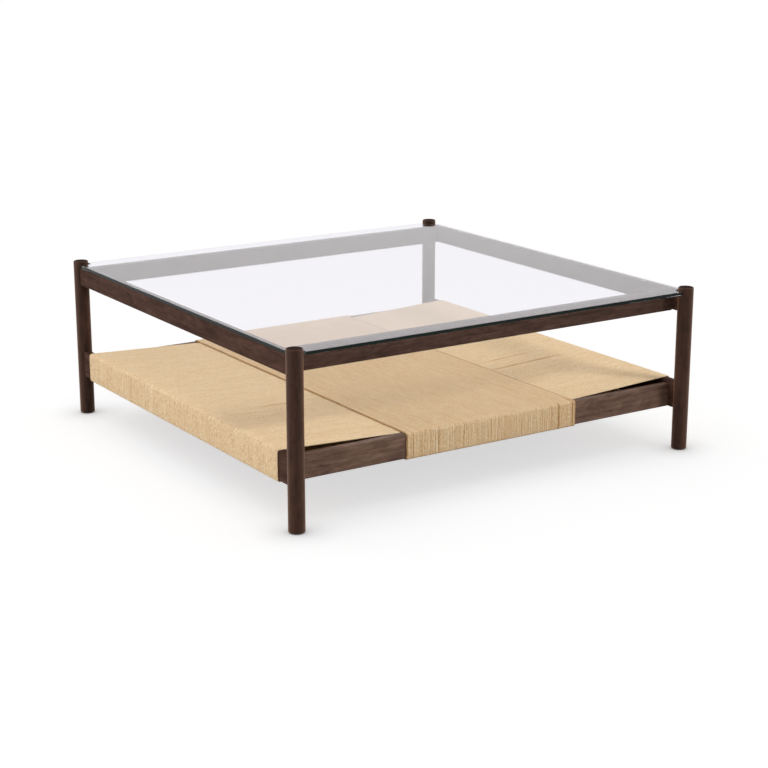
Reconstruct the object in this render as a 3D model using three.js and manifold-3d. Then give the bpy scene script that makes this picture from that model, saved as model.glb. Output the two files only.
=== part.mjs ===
// A low square coffee table. Four round legs carry two side frames, cross aprons and cross
// rails are let in between them, and a shelf of paper cord is wound round the lower rails.
// A loose glass top, notched round the legs, lies on clear pads on the aprons.
// Millimetres, +Z up. The origin is on the floor under the middle of the table, +X runs to the
// right along the front and +Y to the back.
import * as THREE from 'three';
import { mergeVertices } from 'three/addons/utils/BufferGeometryUtils.js';
import Module from 'manifold-3d';

// Overall size
const legSpacing = 1100;
const tableHeight = 410;
const fitGap = 0.3;
const cutOverrun = 5;

// Legs: turned dowel, eased at both ends
const legDiameter = 38;
const legTopRound = 3;
const legFootRound = 1.5;
const legFacets = 36;
const roundSteps = 3;

// Floor glides: a nylon button with a shank driven into the leg
const glideDiameter = 28;
const glideThickness = 2.5;
const glideEdgeRound = 1;
const glideShankDiameter = 4;
const glideShankLength = 14;
const glideFacets = 20;

// Side frames: apron and lower rail run from leg to leg on the legs' centre line
const sideThickness = 20;
const sideApronHeight = 44;
const sideRailHeight = 68;

// Cross members: set in from the legs, butted against the side members' inner faces
const crossThickness = 20;
const crossApronHeight = 46;
const crossRailHeight = 58;
const crossInset = 46;

// Heights shared by both frames
const railUnderside = 102;
const legReveal = 8.5;
const apronEasing = 2;
const railEasing = 3.5;
const easingSteps = 2;

// Dowels: two in each joint
const legDowelDiameter = 10;
const legDowelLength = 36;
const crossDowelDiameter = 8;
const crossDowelLength = 32;
const crossDowelInSide = 12;
const dowelChamfer = 1;
const dowelFacets = 12;
const dowelEdgeDistance = 13;

// Glass top
const glassThickness = 8;
const glassArris = 0.8;
const notchClearance = 5;
const notchSteps = 14;

// Clear pads between the aprons and the glass
const padDiameter = 11;
const padThickness = 1.2;
const padRound = 0.5;
const padFacets = 16;
const padPlaceShares = [-0.36, 0.36];

// Woven shelf
const cordDiameter = 3;
const bandWidth = 486;
const weaveEndGap = 2;
const wrapSteps = 3;

// Places worked out from the sizes above
const legOffset = legSpacing / 2;
const legRadius = legDiameter / 2;
const apronTop = tableHeight - legReveal - glassThickness - padThickness;
const sideInner = legOffset - sideThickness / 2;
const sideOuter = legOffset + sideThickness / 2;
const crossOffset = legOffset - crossInset;
const crossInner = crossOffset - crossThickness / 2;
const crossOuter = crossOffset + crossThickness / 2;
const sideRailTop = railUnderside + sideRailHeight;
const crossRailTop = railUnderside + crossRailHeight;
const bandUnderside = crossRailTop + fitGap;
const bandLowerUnderside = railUnderside - fitGap - cordDiameter;

// Finishes
const stainedWood = { color: 0x45332b, roughness: 0.42, metalness: 0 };
const paperCord = { color: 0xdcc29a, roughness: 0.85, metalness: 0 };
const floatGlass = { color: 0xb9cfc6, roughness: 0.04, metalness: 0, transparent: true, opacity: 0.35 };
const clearVinyl = { color: 0xd8dedb, roughness: 0.3, metalness: 0 };
const nylon = { color: 0x2b2a29, roughness: 0.55, metalness: 0 };
const beech = { color: 0xc9a77a, roughness: 0.6, metalness: 0 };

const wasm = await Module();
wasm.setup();

// A geometry's corners merged and its collapsed triangles dropped, so that it is a closed mesh
function closedGeometry(geometry) {
  const bare = geometry.clone();
  bare.deleteAttribute('normal');
  bare.deleteAttribute('uv');
  const merged = mergeVertices(bare);
  const corners = merged.index.array;
  const kept = [];
  for (let i = 0; i < corners.length; i += 3) {
    const [a, b, c] = [corners[i], corners[i + 1], corners[i + 2]];
    if (a !== b && b !== c && c !== a) kept.push(a, b, c);
  }
  merged.setIndex(kept);
  return merged;
}

function toSolid(geometry) {
  const closed = closedGeometry(geometry);
  return new wasm.Manifold(new wasm.Mesh({
    numProp: 3,
    vertProperties: new Float32Array(closed.attributes.position.array),
    triVerts: new Uint32Array(closed.index.array),
  }));
}

function toGeometry(solid) {
  const mesh = solid.getMesh();
  const geometry = new THREE.BufferGeometry();
  geometry.setAttribute('position', new THREE.BufferAttribute(mesh.vertProperties, 3));
  geometry.setIndex(new THREE.BufferAttribute(mesh.triVerts, 1));
  return geometry;
}

function cut(geometry, cutters) {
  let solid = toSolid(geometry);
  for (const cutter of cutters) solid = solid.subtract(toSolid(cutter));
  return toGeometry(solid);
}

function namedMesh(name, geometry, finish, place = [0, 0, 0]) {
  const mesh = new THREE.Mesh(geometry, new THREE.MeshStandardMaterial(finish));
  mesh.name = name;
  mesh.position.set(...place);
  return mesh;
}

// A profile of [radius, height] points turned about the Z axis
function turned(profile, facets) {
  const points = profile.map(([radius, height]) => new THREE.Vector2(radius, height));
  return new THREE.LatheGeometry(points, facets).rotateX(Math.PI / 2);
}

// Points of a quarter round between two angles
function roundPoints(centreRadius, centreHeight, radius, from, to, steps) {
  const points = [];
  for (let i = 0; i <= steps; i += 1) {
    const angle = from + (to - from) * (i / steps);
    points.push([centreRadius + radius * Math.cos(angle), centreHeight + radius * Math.sin(angle)]);
  }
  return points;
}

// A round bar with its middle at the origin, along X, Y or Z
function bar(diameter, length, facets, direction) {
  const geometry = new THREE.CylinderGeometry(diameter / 2, diameter / 2, length, facets);
  if (direction === 'x') geometry.rotateZ(Math.PI / 2);
  if (direction === 'z') geometry.rotateX(Math.PI / 2);
  return geometry;
}

// A board's eased section, thickness across and height up, standing on zero
function easedSection(thickness, { height, easing }) {
  const side = thickness / 2 - easing;
  const section = new THREE.Shape();
  section.absarc(side, easing, easing, -Math.PI / 2, 0, false);
  section.absarc(side, height - easing, easing, 0, Math.PI / 2, false);
  section.absarc(-side, height - easing, easing, Math.PI / 2, Math.PI, false);
  section.absarc(-side, easing, easing, Math.PI, Math.PI * 1.5, false);
  section.closePath();
  return section;
}

// A section in X and Z carried along Y, with its middle at the origin
function alongY(section, length, steps) {
  const geometry = new THREE.ExtrudeGeometry(section, {
    depth: length, bevelEnabled: false, curveSegments: steps,
  });
  return geometry.translate(0, 0, -length / 2).rotateX(Math.PI / 2);
}

// The heights of a joint's two dowels above a board's underside
function dowelHeights(boardHeight) {
  return [dowelEdgeDistance, boardHeight - dowelEdgeDistance];
}

// The members at each level: their name, underside, height and the easing of their long edges
function apron(height) {
  return { name: 'apron', bottom: apronTop - height, height, easing: apronEasing };
}

function lowerRail(height) {
  return { name: 'lower_rail', bottom: railUnderside, height, easing: railEasing };
}

const sideMembers = [apron(sideApronHeight), lowerRail(sideRailHeight)];
const crossMembers = [apron(crossApronHeight), lowerRail(crossRailHeight)];

// A leg with its dowel holes on the side that faces +Y and a hole for the glide's shank
const legHoleDepth = legDowelLength / 2 + fitGap;
const legHoleDiameter = legDowelDiameter + 2 * fitGap;

function legGeometry() {
  const top = tableHeight;
  const foot = glideThickness;
  const body = turned([
    [0, foot],
    ...roundPoints(legRadius - legFootRound, foot + legFootRound, legFootRound,
      -Math.PI / 2, 0, roundSteps),
    ...roundPoints(legRadius - legTopRound, top - legTopRound, legTopRound,
      0, Math.PI / 2, roundSteps),
    [0, top],
  ], legFacets);
  const holeLength = legHoleDepth + cutOverrun;
  const holes = sideMembers.flatMap(({ bottom, height }) => dowelHeights(height).map(
    (up) => bar(legHoleDiameter, holeLength, dowelFacets, 'y')
      .translate(0, legRadius - legHoleDepth + holeLength / 2, bottom + up),
  ));
  const shankHole = bar(glideShankDiameter + 2 * fitGap, glideShankLength + fitGap + cutOverrun,
    glideFacets, 'z');
  const shankMiddle = foot + (glideShankLength + fitGap - cutOverrun) / 2;
  return cut(body, [...holes, shankHole.translate(0, 0, shankMiddle)]);
}

// A floor glide: a round-edged button with its shank in one piece
function glideGeometry() {
  const shankRadius = glideShankDiameter / 2;
  const buttonTop = glideThickness - fitGap;
  return turned([
    [0, 0],
    ...roundPoints(glideDiameter / 2 - glideEdgeRound, glideEdgeRound, glideEdgeRound,
      -Math.PI / 2, 0, roundSteps),
    [glideDiameter / 2, buttonTop],
    [shankRadius, buttonTop],
    [shankRadius, glideThickness + glideShankLength - shankRadius],
    [0, glideThickness + glideShankLength],
  ], glideFacets);
}

// A dowel with chamfered ends, along X or Y
function dowelGeometry(diameter, length, direction) {
  const radius = diameter / 2;
  const end = length / 2;
  const geometry = turned([
    [0, -end],
    [radius - dowelChamfer, -end],
    [radius, dowelChamfer - end],
    [radius, end - dowelChamfer],
    [radius - dowelChamfer, end],
    [0, end],
  ], dowelFacets);
  geometry.rotateX(-Math.PI / 2);
  if (direction === 'x') geometry.rotateZ(Math.PI / 2);
  return geometry;
}

// Holes in a side member's inner face for the dowels of a cross member of the same level
const crossHoleDiameter = crossDowelDiameter + 2 * fitGap;

function crossDowelCutters(length, middleX, middleY, member) {
  return dowelHeights(member.height).map((up) => bar(crossHoleDiameter, length, dowelFacets, 'x')
    .translate(middleX, middleY, member.bottom + up));
}

// A side member: an eased board, coped round both legs and drilled at its ends and inner face.
// It is drawn for the right side, standing at its own height.
function sideMemberGeometry(level) {
  const member = sideMembers[level];
  const { bottom, height } = member;
  const board = alongY(easedSection(sideThickness, member), legSpacing, easingSteps)
    .translate(0, 0, bottom);
  const cutters = [];
  const copeDiameter = legDiameter + 2 * fitGap;
  const copeHeight = height + 2 * cutOverrun;
  const endHoleDepth = legDowelLength / 2 + fitGap;
  const sideHoleDepth = crossDowelInSide + fitGap;
  const sideHoleLength = sideHoleDepth + cutOverrun;
  for (const end of [-1, 1]) {
    cutters.push(bar(copeDiameter, copeHeight, legFacets, 'z')
      .translate(0, end * legOffset, bottom + height / 2));
    const faceY = legOffset - legRadius;
    const holeLength = endHoleDepth + cutOverrun;
    for (const up of dowelHeights(height)) {
      cutters.push(bar(legHoleDiameter, holeLength, dowelFacets, 'y')
        .translate(0, end * (faceY - endHoleDepth + holeLength / 2), bottom + up));
    }
    cutters.push(...crossDowelCutters(sideHoleLength,
      sideHoleDepth - sideThickness / 2 - sideHoleLength / 2, end * crossOffset,
      crossMembers[level]));
  }
  return cut(board, cutters);
}

// A cross member: an eased board between the side members, drilled in both ends
function crossMemberGeometry(level) {
  const member = crossMembers[level];
  const length = 2 * sideInner;
  const board = alongY(easedSection(crossThickness, member), length, easingSteps)
    .rotateZ(-Math.PI / 2)
    .translate(0, 0, member.bottom);
  const holeDepth = crossDowelLength - crossDowelInSide + fitGap;
  const holeLength = holeDepth + cutOverrun;
  const cutters = [-1, 1].flatMap((end) => crossDowelCutters(holeLength,
    end * (sideInner - holeDepth + holeLength / 2), 0, member));
  return cut(board, cutters);
}

// Half a turn of a woven sheet: from the middle of its upper layer, round the rail, and back to
// the middle of its lower layer. The mirrored half closes the turn.
function sheetTurn(rail, { upper, lower }, standOff) {
  const radius = railEasing + standOff;
  const outer = rail.outer - railEasing;
  const inner = rail.inner + railEasing;
  const top = rail.top - railEasing;
  const bottom = railUnderside + railEasing;
  const line = new THREE.Path();
  line.moveTo(0, upper);
  line.lineTo(rail.levelReach, upper);
  line.lineTo(inner, rail.top + standOff);
  line.absarc(outer, top, radius, Math.PI / 2, 0, true);
  line.absarc(outer, bottom, radius, 0, -Math.PI / 2, true);
  line.lineTo(inner, railUnderside - standOff);
  line.lineTo(rail.levelReach, lower);
  line.lineTo(0, lower);
  const half = line.getPoints(wrapSteps);
  const mirrored = half.map(({ x, y }) => new THREE.Vector2(-x, y)).reverse();
  return [...half, ...mirrored.slice(1, -1)];
}

// A woven sheet along Y: two layers, one cord thick, wound round a rail at each side. It is the
// outer turn's form with the inner turn's form cut out. Its levels are its layers' undersides.
function sheetGeometry(rail, { upper, lower }, width) {
  const outerTurn = sheetTurn(rail, { upper: upper + cordDiameter, lower }, fitGap + cordDiameter);
  const innerTurn = sheetTurn(rail, { upper, lower: lower + cordDiameter }, fitGap);
  const body = alongY(new THREE.Shape(outerTurn), width, wrapSteps);
  return cut(body, [alongY(new THREE.Shape(innerTurn), width + 2 * cutOverrun, wrapSteps)]);
}

// The side-to-side cords are wound round the side rails. Both their layers slope to the middle,
// where they pass between the band's two layers.
function sideToSideGeometry() {
  const rail = {
    inner: sideInner,
    outer: sideOuter,
    top: sideRailTop,
    levelReach: bandWidth / 2,
  };
  const levels = {
    upper: bandUnderside - fitGap - cordDiameter,
    lower: bandLowerUnderside + cordDiameter + fitGap,
  };
  return sheetGeometry(rail, levels, 2 * (crossInner - weaveEndGap));
}

// The middle band is wound level round the front rail and the back rail, outside the other cords
function frontToBackGeometry() {
  const rail = {
    inner: crossInner,
    outer: crossOuter,
    top: crossRailTop,
    levelReach: crossInner,
  };
  const levels = { upper: bandUnderside, lower: bandLowerUnderside };
  return sheetGeometry(rail, levels, bandWidth).rotateZ(-Math.PI / 2);
}

// The glass: a square with a round notch at each corner, its edges arrissed
function glassGeometry() {
  const notchRadius = legRadius + notchClearance;
  const reach = sideOuter - legOffset;
  const along = Math.sqrt(notchRadius ** 2 - reach ** 2);
  const notchStart = Math.atan2(-along, reach);
  const notchEnd = Math.atan2(reach, -along);
  const outline = new THREE.Shape();
  for (let corner = 0; corner < 4; corner += 1) {
    const turn = corner * Math.PI / 2;
    const centre = new THREE.Vector2(legOffset, legOffset).rotateAround(new THREE.Vector2(), turn);
    outline.absarc(centre.x, centre.y, notchRadius, notchStart + turn, notchEnd + turn, true);
  }
  outline.closePath();
  return new THREE.ExtrudeGeometry(outline, {
    depth: glassThickness - 2 * glassArris,
    bevelEnabled: true,
    bevelThickness: glassArris,
    bevelSize: glassArris,
    bevelOffset: -glassArris,
    bevelSegments: 1,
    curveSegments: notchSteps,
  }).translate(0, 0, glassArris);
}

// A clear pad: a flat disc with a rounded rim
function padGeometry() {
  const radius = padDiameter / 2;
  return turned([
    [0, 0],
    [radius, 0],
    ...roundPoints(radius - padRound, padThickness - padRound, padRound,
      0, Math.PI / 2, roundSteps),
    [0, padThickness],
  ], padFacets);
}

// A side frame, drawn for the right side: two legs, their members, dowels, glides and pads.
// Turned half round it is the left one, so its first end is then at the back.
function sideFrame(side, ends) {
  const frame = new THREE.Group();
  const dowel = dowelGeometry(legDowelDiameter, legDowelLength, 'y');
  ends.forEach((end, i) => {
    const towards = i === 0 ? -1 : 1;
    const corner = `${end}_${side}`;
    const leg = namedMesh(`leg_${corner}`, legGeometry(), stainedWood, [0, towards * legOffset, 0]);
    leg.rotation.z = i === 0 ? 0 : Math.PI;
    frame.add(leg);
    frame.add(namedMesh(`floor_glide_${corner}`, glideGeometry(), nylon, leg.position.toArray()));
    for (const { name, bottom, height } of sideMembers) {
      dowelHeights(height).forEach((up, place) => {
        const at = [0, towards * (legOffset - legRadius), bottom + up];
        frame.add(namedMesh(`dowel_leg_${corner}_${name}_${place + 1}`, dowel, beech, at));
      });
    }
    const padY = legSpacing * padPlaceShares[i];
    frame.add(namedMesh(`glass_pad_${side}_${end}`, padGeometry(), clearVinyl, [0, padY, apronTop]));
  });
  sideMembers.forEach(({ name }, level) => {
    frame.add(namedMesh(`${name}_${side}`, sideMemberGeometry(level), stainedWood));
  });
  return frame;
}

// A cross frame: the apron and lower rail between the side frames, with dowels and pads
function crossFrame(end) {
  const frame = new THREE.Group();
  const dowel = dowelGeometry(crossDowelDiameter, crossDowelLength, 'x');
  const dowelMiddle = sideInner + crossDowelInSide - crossDowelLength / 2;
  crossMembers.forEach(({ name, bottom, height }, level) => {
    frame.add(namedMesh(`${name}_${end}`, crossMemberGeometry(level), stainedWood));
    for (const [side, towards] of [['left', -1], ['right', 1]]) {
      dowelHeights(height).forEach((up, place) => {
        const at = [towards * dowelMiddle, 0, bottom + up];
        frame.add(namedMesh(`dowel_${end}_${name}_${side}_${place + 1}`, dowel, beech, at));
      });
    }
  });
  ['left', 'right'].forEach((side, i) => {
    const at = [legSpacing * padPlaceShares[i], 0, apronTop];
    frame.add(namedMesh(`glass_pad_${end}_${side}`, padGeometry(), clearVinyl, at));
  });
  return frame;
}

const table = new THREE.Group();

const rightFrame = sideFrame('right', ['front', 'back']);
rightFrame.position.x = legOffset;
const leftFrame = sideFrame('left', ['back', 'front']);
leftFrame.position.x = -legOffset;
leftFrame.rotation.z = Math.PI;
const frontFrame = crossFrame('front');
frontFrame.position.y = -crossOffset;
const backFrame = crossFrame('back');
backFrame.position.y = crossOffset;
table.add(rightFrame, leftFrame, frontFrame, backFrame);

table.add(namedMesh('cord_side_to_side', sideToSideGeometry(), paperCord));
table.add(namedMesh('cord_front_to_back', frontToBackGeometry(), paperCord));
table.add(namedMesh('glass_top', glassGeometry(), floatGlass, [0, 0, apronTop + padThickness]));

export default table;
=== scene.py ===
"""A low square table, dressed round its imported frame: turned legs, boards let in between them,
a shelf of paper cord wound round the lower rails and a loose glass top notched round the legs.

Metres, +Z up. The origin is on the floor under the middle of the table.
"""

import logging
import math
from dataclasses import dataclass, field
from enum import Enum

import bpy
import numpy as np
from bpy.types import Material, Mesh, Node, NodeSocket, NodeTree, Object
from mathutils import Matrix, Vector


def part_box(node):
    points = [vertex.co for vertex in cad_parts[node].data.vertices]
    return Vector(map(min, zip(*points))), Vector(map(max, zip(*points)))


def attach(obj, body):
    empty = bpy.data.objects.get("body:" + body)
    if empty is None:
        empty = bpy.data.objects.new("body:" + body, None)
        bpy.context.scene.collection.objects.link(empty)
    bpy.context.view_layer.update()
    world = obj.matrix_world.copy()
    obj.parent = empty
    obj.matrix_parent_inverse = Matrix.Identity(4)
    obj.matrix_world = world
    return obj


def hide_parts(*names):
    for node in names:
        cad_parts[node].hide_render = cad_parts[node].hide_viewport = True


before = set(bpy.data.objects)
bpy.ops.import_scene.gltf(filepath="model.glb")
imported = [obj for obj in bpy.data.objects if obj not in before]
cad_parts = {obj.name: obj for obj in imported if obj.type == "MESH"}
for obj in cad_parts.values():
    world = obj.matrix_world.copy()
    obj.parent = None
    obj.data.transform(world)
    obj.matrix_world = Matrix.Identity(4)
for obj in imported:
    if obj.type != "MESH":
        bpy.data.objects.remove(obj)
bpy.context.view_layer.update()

# A point, a direction, a colour's three parts, or the radius, height and easing of a corner
Triple = tuple[float, float, float]

MM = 0.001
HEX_MAX = 255
WHITE = (1.0, 1.0, 1.0, 1.0)
GLASS_IOR, LACQUER_IOR, WAX_IOR = 1.52, 1.5, 1.45
BASE, TOP = "base", "top"
SHARP_ANGLE = math.radians(30)
SRGB_KNEE, SRGB_SLOPE = 0.04045, 12.92
SRGB_OFFSET, SRGB_SCALE, SRGB_POWER = 0.055, 1.055, 2.4
NOISE_MIDDLE = 0.5
# A share raised to this power stays near one and fades only close to its end
LATE_FADE = 0.25
# How much of the white backdrop a mirror image shows
MIRRORED_SHARE = 0.67

log = logging.getLogger("table")


class Axis(Enum):
    """The direction that a board, a cord or a wood grain runs in."""

    X = 0
    Y = 1
    Z = 2


def linear(colour: str) -> tuple[float, float, float, float]:
    """Turns an sRGB hex colour to linear.

    Args:
        colour: Six hex digits after a hash.

    Returns:
        Linear red, green and blue, and an alpha of one.
    """
    coded = np.array([int(colour[i:i + 2], 16) for i in (1, 3, 5)]) / HEX_MAX
    low = coded / SRGB_SLOPE
    high = ((coded + SRGB_OFFSET) / SRGB_SCALE) ** SRGB_POWER
    return (*np.where(coded <= SRGB_KNEE, low, high).tolist(), 1.0)


def add(tree: NodeTree, kind: str, inputs: dict | None = None, **settings: object) -> Node:
    """Adds a shader node with its settings and links.

    Args:
        tree: The node tree that gets it.
        kind: The node's type name, less the ShaderNode in front.
        inputs: For each input, by name or number, its value, an output socket, or a node whose
            first output it takes.
        **settings: The node's own properties.

    Returns:
        The new node.
    """
    node = tree.nodes.new("ShaderNode" + kind)
    for name, value in settings.items():
        setattr(node, name, value)
    for name, value in (inputs or {}).items():
        if isinstance(value, Node):
            value = value.outputs[0]
        if isinstance(value, NodeSocket):
            tree.links.new(value, node.inputs[name])
        else:
            node.inputs[name].default_value = value
    return node


def backdrop_share(tree: NodeTree) -> Node:
    """How far a ray shows the backdrop: all from the camera or through glass, else mirrored.

    Args:
        tree: The tree that asks.

    Returns:
        The node that gives the share.
    """
    light = add(tree, "LightPath")
    mirrored = add(tree, "Math", {0: light.outputs["Is Glossy Ray"], 1: MIRRORED_SHARE},
                   operation="MULTIPLY")
    direct = add(tree, "Math", {
        0: light.outputs["Is Camera Ray"], 1: light.outputs["Is Transmission Ray"],
    }, operation="MAXIMUM")
    return add(tree, "Math", {0: mirrored, 1: direct}, operation="MAXIMUM")


def swept_mesh(name: str, rings: np.ndarray) -> Mesh:
    """Joins rings of points into one closed skin, with a pole in the middle of each end ring.

    Ring i and ring i + 1 are joined by quads, and each end ring by triangles to its mean point.
    Rings run anticlockwise about their direction of travel, so that the faces point outwards.

    Args:
        name: The mesh's name.
        rings: Points as an array of ring, place on the ring, and coordinate.

    Returns:
        The mesh, smooth, with its quads in ring order and its triangles after them.
    """
    count, sides, _ = rings.shape
    first = np.arange(count * sides).reshape(count, sides)
    turned = np.roll(first, -1, axis=1)
    quads = np.stack([first[:-1], turned[:-1], turned[1:], first[1:]], axis=-1).reshape(-1, 4)
    poles = count * sides + np.array([0, 1])
    start = np.stack([np.full(sides, poles[0]), turned[0], first[0]], axis=-1)
    end = np.stack([np.full(sides, poles[1]), first[-1], turned[-1]], axis=-1)
    points = np.concatenate([rings.reshape(-1, 3), [rings[0].mean(0)], [rings[-1].mean(0)]])
    mesh = bpy.data.meshes.new(name)
    mesh.from_pydata(points.tolist(), [], quads.tolist() + start.tolist() + end.tolist())
    mesh.shade_smooth()
    return mesh


def lengths_along(line: np.ndarray) -> np.ndarray:
    """Length along a line at each of its points, which are the rows: its steps added up."""
    return np.concatenate([[0.0], np.cumsum(np.linalg.norm(np.diff(line, axis=0), axis=1))])


def unit(rows: np.ndarray) -> np.ndarray:
    """Scales each row to a length of one."""
    return rows / np.linalg.norm(rows, axis=1, keepdims=True)


def between(start: np.ndarray, end: np.ndarray, steps: int) -> np.ndarray:
    """Points at equal steps on the straight way between two points, without those two."""
    return start + (end - start) * np.linspace(0, 1, steps + 1)[1:-1, None]


def place(name: str, mesh: Mesh, finish: Material, body: str, slot: str, node: str,
          crisp: bool = True) -> Object:
    """Puts a finished mesh in the scene as a piece of the table.

    Args:
        name: The piece's name.
        mesh: Its mesh, in its place.
        finish: Its material.
        body: The body that it rides on.
        slot: The record's material slot for it; not used.
        node: The solid that it stands for.
        crisp: True if its hard edges are kept sharp.

    Returns:
        The piece's object.
    """
    if crisp:
        mesh.set_sharp_from_angle(angle=SHARP_ANGLE)
    mesh.materials.append(finish)
    piece = bpy.data.objects.new(name, mesh)
    bpy.context.scene.collection.objects.link(piece)
    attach(piece, body)
    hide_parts(node)
    log.info("%s: %d faces, rides on %s", name, len(mesh.polygons), body)
    return piece


@dataclass(frozen=True)
class Finish:
    """What a surface is made of, built as a material of nodes."""

    name: str

    def surface(self, tree: NodeTree) -> Node:
        """Adds the finish's own nodes to an empty tree, and returns the one with its shader."""
        raise NotImplementedError

    def build(self) -> Material:
        """Makes the material.

        Returns:
            The material, named for what it is.
        """
        material = bpy.data.materials.new(self.name)
        material.use_nodes = True
        tree = material.node_tree
        tree.nodes.clear()
        add(tree, "OutputMaterial", {"Surface": self.surface(tree)})
        return material


@dataclass(frozen=True)
class Unevenness:
    """The slight ups and downs that the making of a surface leaves."""

    size: float
    depth: float
    strength: float = 0.4
    detail: float = 2.0

    def bump(self, tree: NodeTree) -> Node:
        """Adds a bump from noise on object coordinates.

        Args:
            tree: The material's tree.

        Returns:
            The bump's node.
        """
        coordinates = add(tree, "TexCoord")
        noise = add(tree, "TexNoise", {
            "Vector": coordinates.outputs["Object"], "Scale": 1 / self.size,
            "Detail": self.detail,
        })
        return add(tree, "Bump", {
            "Strength": self.strength, "Distance": self.depth, "Height": noise,
        })


@dataclass(frozen=True)
class Figure:
    """One layer of the wood's figure: noise drawn out along the grain."""

    width: float
    length: float
    detail: float
    curl: float = 0.0
    weight: float = 1.0


@dataclass(frozen=True)
class Knot:
    """A small dark knot near the surface of a board or leg."""

    place: Triple
    size: float
    core_share: float = 0.25
    depth: float = 0.75


@dataclass(frozen=True)
class StainedAsh(Finish):
    """Ash, planed or turned, stained dark brown and lacquered satin.

    It gives the eye soft streaks and blotches of stain, short dark pores along the grain, a knot
    here and there, and a low sheen on the eased edges. On a turned leg the satin lacquer looks
    paler towards both sides.
    """

    grain: Axis
    dark: str = "#33231c"
    light: str = "#5c4439"
    pore: str = "#1c110d"
    streaks: Figure = Figure(7 * MM, 150 * MM, detail=3.0, curl=0.5, weight=0.9)
    fibres: Figure = Figure(1.6 * MM, 60 * MM, detail=2.0, curl=0.2, weight=0.38)
    blotches: Figure = Figure(22 * MM, 60 * MM, detail=3.0, curl=1.0, weight=1.05)
    pores: Figure = Figure(0.8 * MM, 16 * MM, detail=2.0)
    figure_roughness: float = 0.6
    tone_from: float = 0.36
    tone_to: float = 0.64
    pore_from: float = 0.58
    pore_to: float = 0.70
    pore_share: float = 0.5
    roughness_low: float = 0.32
    roughness_high: float = 0.46
    relief: float = 0.10 * MM
    relief_strength: float = 0.5
    sheen_level: float = 0.13
    side_glow: float = 0.0
    side_glow_roughness: float = 0.5
    side_glow_colour: str = "#bd8f72"
    end_from: float = 0.85
    end_to: float = 0.98
    end_share: float = 0.6
    end_roughness: float = 0.9
    knots: tuple[Knot, ...] = ()

    def noise(self, tree: NodeTree, figure: Figure) -> Node:
        """Adds a layer of the figure, on object coordinates.

        Args:
            tree: The material's tree.
            figure: The layer.

        Returns:
            The noise's node, whose values lie about a half.
        """
        scale = [1 / figure.width] * 3
        scale[self.grain.value] = 1 / figure.length
        coordinates = add(tree, "TexCoord")
        mapping = add(tree, "Mapping", {"Vector": coordinates.outputs["Object"], "Scale": scale})
        return add(tree, "TexNoise", {
            "Vector": mapping, "Scale": 1.0, "Detail": figure.detail,
            "Roughness": self.figure_roughness, "Distortion": figure.curl,
        })

    def knot_shade(self, tree: NodeTree, colour: NodeSocket) -> NodeSocket:
        """Darkens the wood round each knot.

        Args:
            tree: The material's tree.
            colour: The wood's colour.

        Returns:
            The colour with its knots.
        """
        for knot in self.knots:
            coordinates = add(tree, "TexCoord")
            away = add(tree, "VectorMath", {0: coordinates.outputs["Object"], 1: knot.place},
                       operation="DISTANCE")
            near = add(tree, "MapRange", {
                "Value": away.outputs["Value"], "From Min": knot.size,
                "From Max": knot.size * knot.core_share, "To Max": knot.depth,
            }, interpolation_type="SMOOTHSTEP")
            colour = add(tree, "Mix", {0: near, 6: colour, 7: linear(self.pore)},
                         data_type="RGBA").outputs[2]
        return colour

    def end_grain(self, tree: NodeTree) -> Node:
        """Finds the faces across the grain, whose open ends drink more stain and stay dull.

        Args:
            tree: The material's tree.

        Returns:
            The node that gives the share of end grain, from nothing to one.
        """
        grain = [0.0, 0.0, 0.0]
        grain[self.grain.value] = 1.0
        surface = add(tree, "NewGeometry")
        facing = add(tree, "VectorMath", {0: surface.outputs["Normal"], 1: grain},
                     operation="DOT_PRODUCT")
        size = add(tree, "Math", {0: facing.outputs["Value"]}, operation="ABSOLUTE")
        return add(tree, "MapRange", {
            "Value": size, "From Min": self.end_from, "From Max": self.end_to,
        }, interpolation_type="SMOOTHSTEP")

    def surface(self, tree: NodeTree) -> Node:
        """Adds the layers of stain, the pores, the knots and the end grain.

        Args:
            tree: The material's tree.

        Returns:
            The lacquered wood's shader.
        """
        layers = (self.streaks, self.fibres, self.blotches)
        total = sum(layer.weight for layer in layers)
        tone: Node | float = 0.0
        for layer in layers:
            tone = add(tree, "Math", {
                0: self.noise(tree, layer), 1: layer.weight / total, 2: tone,
            }, operation="MULTIPLY_ADD")
        span = {"Value": tone, "From Min": self.tone_from, "From Max": self.tone_to}
        stain = add(tree, "Mix", {
            0: add(tree, "MapRange", span), 6: linear(self.dark), 7: linear(self.light),
        }, data_type="RGBA")
        open_pore = add(tree, "MapRange", {
            "Value": self.noise(tree, self.pores), "From Min": self.pore_from,
            "From Max": self.pore_to, "To Max": self.pore_share,
        })
        colour = add(tree, "Mix", {0: open_pore, 6: stain.outputs[2], 7: linear(self.pore)},
                     data_type="RGBA")
        roughness = add(tree, "MapRange", {
            **span, "To Min": self.roughness_high, "To Max": self.roughness_low,
        })
        bump = add(tree, "Bump", {
            "Strength": self.relief_strength, "Distance": self.relief, "Height": open_pore,
        }, invert=True)
        end = self.end_grain(tree)
        end_shade = add(tree, "Math", {0: end, 1: self.end_share}, operation="MULTIPLY")
        shaded = add(tree, "Mix", {
            0: end_shade, 6: self.knot_shade(tree, colour.outputs[2]), 7: linear(self.pore),
        }, data_type="RGBA")
        dulled = add(tree, "Mix", {0: end, 2: roughness, 3: self.end_roughness},
                     data_type="FLOAT")
        return add(tree, "BsdfPrincipled", {
            "Base Color": shaded.outputs[2], "Roughness": dulled, "Normal": bump,
            "IOR": LACQUER_IOR, "Specular IOR Level": self.sheen_level,
            "Sheen Weight": self.side_glow, "Sheen Roughness": self.side_glow_roughness,
            "Sheen Tint": linear(self.side_glow_colour),
        })


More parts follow.
